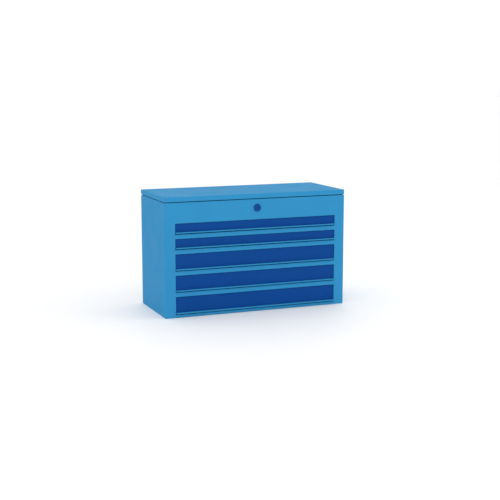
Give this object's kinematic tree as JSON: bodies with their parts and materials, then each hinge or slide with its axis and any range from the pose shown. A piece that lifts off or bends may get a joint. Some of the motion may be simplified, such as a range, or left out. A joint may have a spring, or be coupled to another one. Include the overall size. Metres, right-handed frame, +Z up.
{
  "type": "small parts drawer chest",
  "caption": "Mini steel tool chest with a hinged lid over a top compartment, a cam lock and a stack of shallow and deep drawers with full width pull lips.",
  "frame": {"origin": "on the surface that the chest stands on, under the middle of its outline over pulls and back", "axes": "+X to the right along the front, +Y from the front to the back, +Z up"},
  "size_m": [0.3616, 0.1536, 0.2229],
  "materials": {
    "blue_paint": "light blue powder coat, satin",
    "navy_paint": "navy powder coat, satin",
    "lock_finish": "navy enamel, smooth",
    "zinc_steel": "bright zinc plate",
    "mat_foam": "ribbed black foam rubber",
    "black_rubber": "matt rubber"
  },
  "bodies": {
    "casing": {"back_panel": "blue_paint", "bottom_panel": "blue_paint", "compartment_floor": "blue_paint", "compartment_mat": "mat_foam", "cross_rail_1": "blue_paint", "cross_rail_2": "blue_paint", "cross_rail_3": "blue_paint", "cross_rail_4": "blue_paint", "drawer_bumpers": "black_rubber", "hinge_lower_leaf": "zinc_steel", "hinge_lower_rivets": "zinc_steel", "hinge_pin": "zinc_steel", "left_runner_1": "zinc_steel", "left_runner_2": "zinc_steel", "left_runner_3": "zinc_steel", "left_runner_4": "zinc_steel", "left_runner_5": "zinc_steel", "left_runner_panel": "blue_paint", "left_side_panel": "blue_paint", "lid_bumpers": "black_rubber", "lock_bar_guides": "zinc_steel", "lock_housing": "lock_finish", "lock_nut": "zinc_steel", "lock_panel": "blue_paint", "right_runner_1": "zinc_steel", "right_runner_2": "zinc_steel", "right_runner_3": "zinc_steel", "right_runner_4": "zinc_steel", "right_runner_5": "zinc_steel", "right_runner_panel": "blue_paint", "right_side_panel": "blue_paint"},
    "lid": {"lid_panel": "blue_paint", "lid_catch": "blue_paint", "hinge_upper_leaf": "zinc_steel", "hinge_upper_rivets": "zinc_steel"},
    "lock_cylinder": {"lock_plug": "lock_finish", "lock_cam": "zinc_steel", "cam_screw": "zinc_steel"},
    "lock_bar": {"lock_bar": "zinc_steel"},
    "drawer_1": {"drawer_tray_1": "blue_paint", "drawer_front_1": "navy_paint", "drawer_pull_1": "blue_paint", "drawer_mat_1": "mat_foam"},
    "drawer_2": {"drawer_tray_2": "blue_paint", "drawer_front_2": "navy_paint", "drawer_pull_2": "blue_paint", "drawer_mat_2": "mat_foam"},
    "drawer_3": {"drawer_tray_3": "blue_paint", "drawer_front_3": "navy_paint", "drawer_pull_3": "blue_paint", "drawer_mat_3": "mat_foam"},
    "drawer_4": {"drawer_tray_4": "blue_paint", "drawer_front_4": "navy_paint", "drawer_pull_4": "blue_paint", "drawer_mat_4": "mat_foam"},
    "drawer_5": {"drawer_tray_5": "blue_paint", "drawer_front_5": "navy_paint", "drawer_pull_5": "blue_paint", "drawer_mat_5": "mat_foam"}
  },
  "joints": [
    {"name": "lid_hinge", "type": "hinge", "parent": "casing", "child": "lid", "pos_m": [0, 0.07457, 0.2134], "axis": [-1, 0, 0], "range_deg": [0, 105]},
    {"name": "lock_turn", "type": "hinge", "parent": "casing", "child": "lock_cylinder", "pos_m": [0, -0.07277, 0.1966], "axis": [0, -1, 0], "range_deg": [-90, 0]},
    {"name": "lock_bar_slide", "type": "slide", "parent": "casing", "child": "lock_bar", "axis": [1, 0, 0], "range_m": [-0.0099, 0]},
    {"name": "drawer_1_slide", "type": "slide", "parent": "casing", "child": "drawer_1", "axis": [0, -1, 0], "range_m": [0, 0.098]},
    {"name": "drawer_2_slide", "type": "slide", "parent": "casing", "child": "drawer_2", "axis": [0, -1, 0], "range_m": [0, 0.098]},
    {"name": "drawer_3_slide", "type": "slide", "parent": "casing", "child": "drawer_3", "axis": [0, -1, 0], "range_m": [0, 0.098]},
    {"name": "drawer_4_slide", "type": "slide", "parent": "casing", "child": "drawer_4", "axis": [0, -1, 0], "range_m": [0, 0.098]},
    {"name": "drawer_5_slide", "type": "slide", "parent": "casing", "child": "drawer_5", "axis": [0, -1, 0], "range_m": [0, 0.098]}
  ],
  "couplings": [
    {"joint": "lock_turn", "follows": "lock_bar_slide", "rad_per_m": 158.67}
  ]
}
